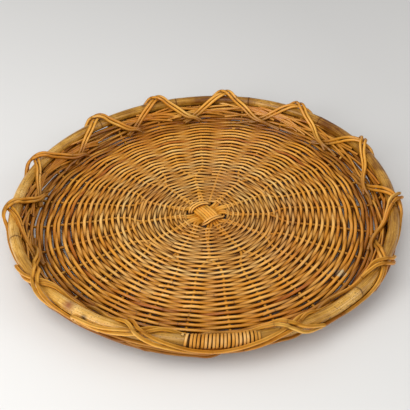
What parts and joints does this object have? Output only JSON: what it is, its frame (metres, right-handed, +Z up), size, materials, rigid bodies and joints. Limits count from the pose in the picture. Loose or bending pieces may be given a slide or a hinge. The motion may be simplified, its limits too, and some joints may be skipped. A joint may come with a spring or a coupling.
{
  "type": "woven tray",
  "caption": "Round open rattan tray: flat woven base, low woven edge, thick rim pole and crossed pairs of border rods.",
  "frame": {"origin": "on the floor under the middle of the tray", "axes": "+Z up, -Y towards the binding of the rim pole, +X to the right of it"},
  "size_m": [0.6378, 0.6404, 0.0648],
  "materials": {
    "stick": "round rattan sticks of the base, honey brown, satin",
    "weave": "round rattan weavers of the base, honey gold, satin",
    "edge_weave": "darker, redder rattan weavers of the edge, satin",
    "pole": "thick rattan pole with growth rings, brownish gold, satin",
    "binding": "pale cane strip wound round the joint of the pole, satin",
    "border": "round rattan rods of the border, honey gold, light varnish"
  },
  "bodies": {
    "root": {"base_stick_upper_1": "stick", "base_stick_upper_2": "stick", "base_stick_upper_3": "stick", "base_stick_upper_4": "stick", "base_stick_upper_5": "stick", "base_stick_upper_6": "stick", "base_stick_lower_1": "stick", "base_stick_lower_2": "stick", "base_stick_lower_3": "stick", "base_stick_lower_4": "stick", "base_stick_lower_5": "stick", "base_stick_lower_6": "stick", "base_stick_added": "stick", "cross_tie": "weave", "centre_weaver": "weave", "base_weaver": "weave", "edge_weaver": "edge_weave", "rim_pole": "pole", "rim_binding": "binding", "border_pair_over_1": "border", "border_pair_over_2": "border", "border_pair_over_3": "border", "border_pair_over_4": "border", "border_pair_over_5": "border", "border_pair_over_6": "border", "border_pair_over_7": "border", "border_pair_over_8": "border", "border_pair_over_9": "border", "border_pair_over_10": "border", "border_pair_over_11": "border", "border_pair_over_12": "border", "border_pair_under_1": "border", "border_pair_under_2": "border", "border_pair_under_3": "border", "border_pair_under_4": "border", "border_pair_under_5": "border", "border_pair_under_6": "border", "border_pair_under_7": "border", "border_pair_under_8": "border", "border_pair_under_9": "border", "border_pair_under_10": "border", "border_pair_under_11": "border", "border_pair_under_12": "border"}
  },
  "joints": []
}
